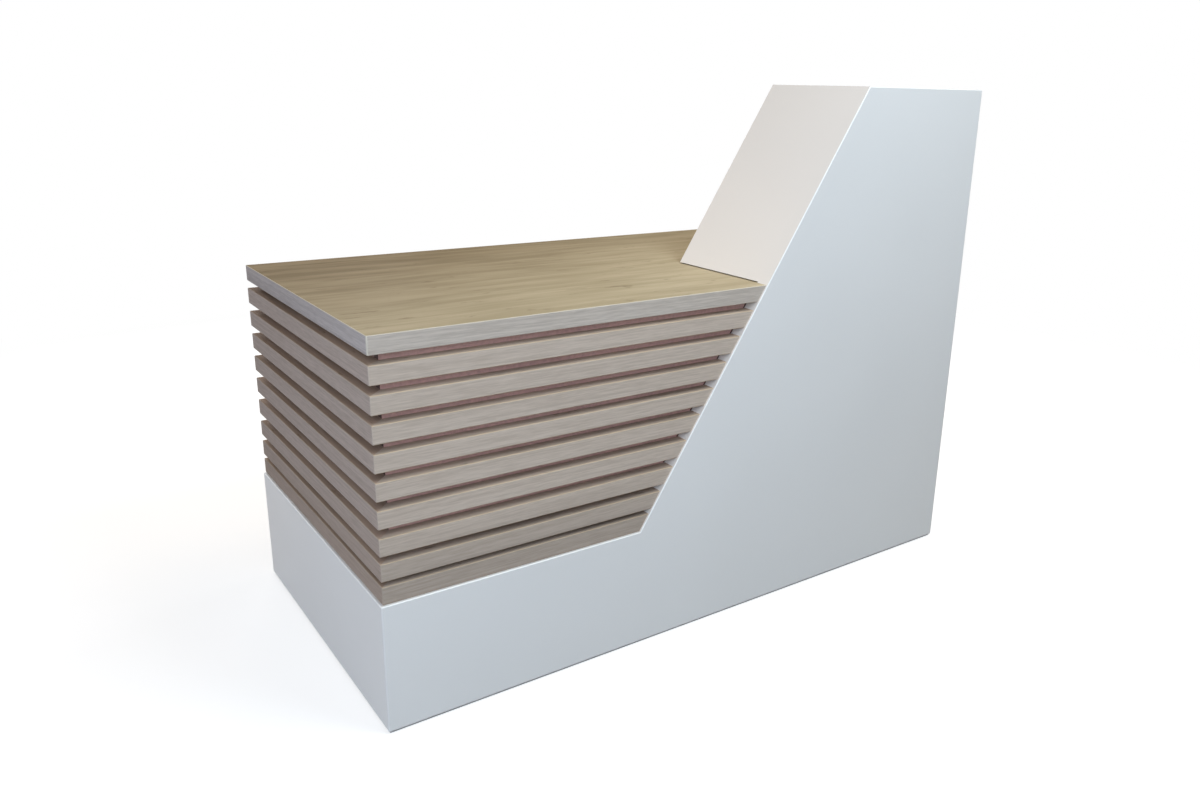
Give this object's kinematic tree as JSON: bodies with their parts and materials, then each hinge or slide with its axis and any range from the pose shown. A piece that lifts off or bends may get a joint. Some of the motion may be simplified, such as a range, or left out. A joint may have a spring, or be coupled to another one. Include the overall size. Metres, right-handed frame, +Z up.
{
  "type": "reception desk",
  "caption": "Reception desk with a white front rising into a slanted counter tower, an oak worktop, and oak slats wrapping the front and left side of a brown carcass.",
  "frame": {"origin": "on the floor, below the middle of the desk's footprint", "axes": "+X to the right along the front, towards the tower; +Y from the visitors' front to the staff side; +Z up"},
  "size_m": [1.535, 0.748, 1.164],
  "materials": {
    "white_lacquer": "white satin lacquer on fibreboard",
    "oak_worktop": "natural oak laminate, matt",
    "oak_slat": "grey-beige oak decor, matt",
    "brown_carcass": "reddish brown melamine board, matt",
    "zinc_steel": "bright zinc plate",
    "foot_steel": "zinc-plated levelling foot",
    "black_nylon": "moulded black nylon"
  },
  "bodies": {
    "desk": {"front_panel": "white_lacquer", "plinth_side_panel": "white_lacquer", "front_carcass_panel": "brown_carcass", "tower_carcass_panel": "brown_carcass", "side_carcass_panel": "brown_carcass", "right_end_panel": "white_lacquer", "worktop": "oak_worktop", "tower_slant_panel": "white_lacquer", "tower_back_panel": "white_lacquer", "tower_top_panel": "white_lacquer", "tower_side_panel": "white_lacquer", "front_slat_1": "oak_slat", "front_slat_2": "oak_slat", "front_slat_3": "oak_slat", "front_slat_4": "oak_slat", "front_slat_5": "oak_slat", "front_slat_6": "oak_slat", "front_slat_7": "oak_slat", "front_slat_8": "oak_slat", "front_slat_9": "oak_slat", "side_slat_1": "oak_slat", "side_slat_2": "oak_slat", "side_slat_3": "oak_slat", "side_slat_4": "oak_slat", "side_slat_5": "oak_slat", "side_slat_6": "oak_slat", "side_slat_7": "oak_slat", "side_slat_8": "oak_slat", "side_slat_9": "oak_slat", "worktop_bracket_1": "zinc_steel", "worktop_bracket_2": "zinc_steel", "worktop_bracket_3": "zinc_steel", "worktop_bracket_4": "zinc_steel", "worktop_bracket_5": "zinc_steel", "worktop_bracket_6": "zinc_steel", "worktop_screw_1": "zinc_steel", "worktop_screw_2": "zinc_steel", "worktop_screw_3": "zinc_steel", "worktop_screw_4": "zinc_steel", "worktop_screw_5": "zinc_steel", "worktop_screw_6": "zinc_steel", "panel_screw_1": "zinc_steel", "panel_screw_2": "zinc_steel", "panel_screw_3": "zinc_steel", "panel_screw_4": "zinc_steel", "panel_screw_5": "zinc_steel", "panel_screw_6": "zinc_steel", "levelling_block_1": "black_nylon", "levelling_block_2": "black_nylon", "levelling_block_3": "black_nylon", "levelling_block_4": "black_nylon", "levelling_block_5": "black_nylon", "levelling_block_6": "black_nylon"},
    "foot_1": {"levelling_foot_1": "foot_steel"},
    "foot_2": {"levelling_foot_2": "foot_steel"},
    "foot_3": {"levelling_foot_3": "foot_steel"},
    "foot_4": {"levelling_foot_4": "foot_steel"},
    "foot_5": {"levelling_foot_5": "foot_steel"},
    "foot_6": {"levelling_foot_6": "foot_steel"}
  },
  "joints": [
    {"name": "foot_1_height", "type": "slide", "parent": "desk", "child": "foot_1", "axis": [0, 0, -1], "range_m": [0, 0.012]},
    {"name": "foot_2_height", "type": "slide", "parent": "desk", "child": "foot_2", "axis": [0, 0, -1], "range_m": [0, 0.012]},
    {"name": "foot_3_height", "type": "slide", "parent": "desk", "child": "foot_3", "axis": [0, 0, -1], "range_m": [0, 0.012]},
    {"name": "foot_4_height", "type": "slide", "parent": "desk", "child": "foot_4", "axis": [0, 0, -1], "range_m": [0, 0.012]},
    {"name": "foot_5_height", "type": "slide", "parent": "desk", "child": "foot_5", "axis": [0, 0, -1], "range_m": [0, 0.012]},
    {"name": "foot_6_height", "type": "slide", "parent": "desk", "child": "foot_6", "axis": [0, 0, -1], "range_m": [0, 0.012]}
  ]
}
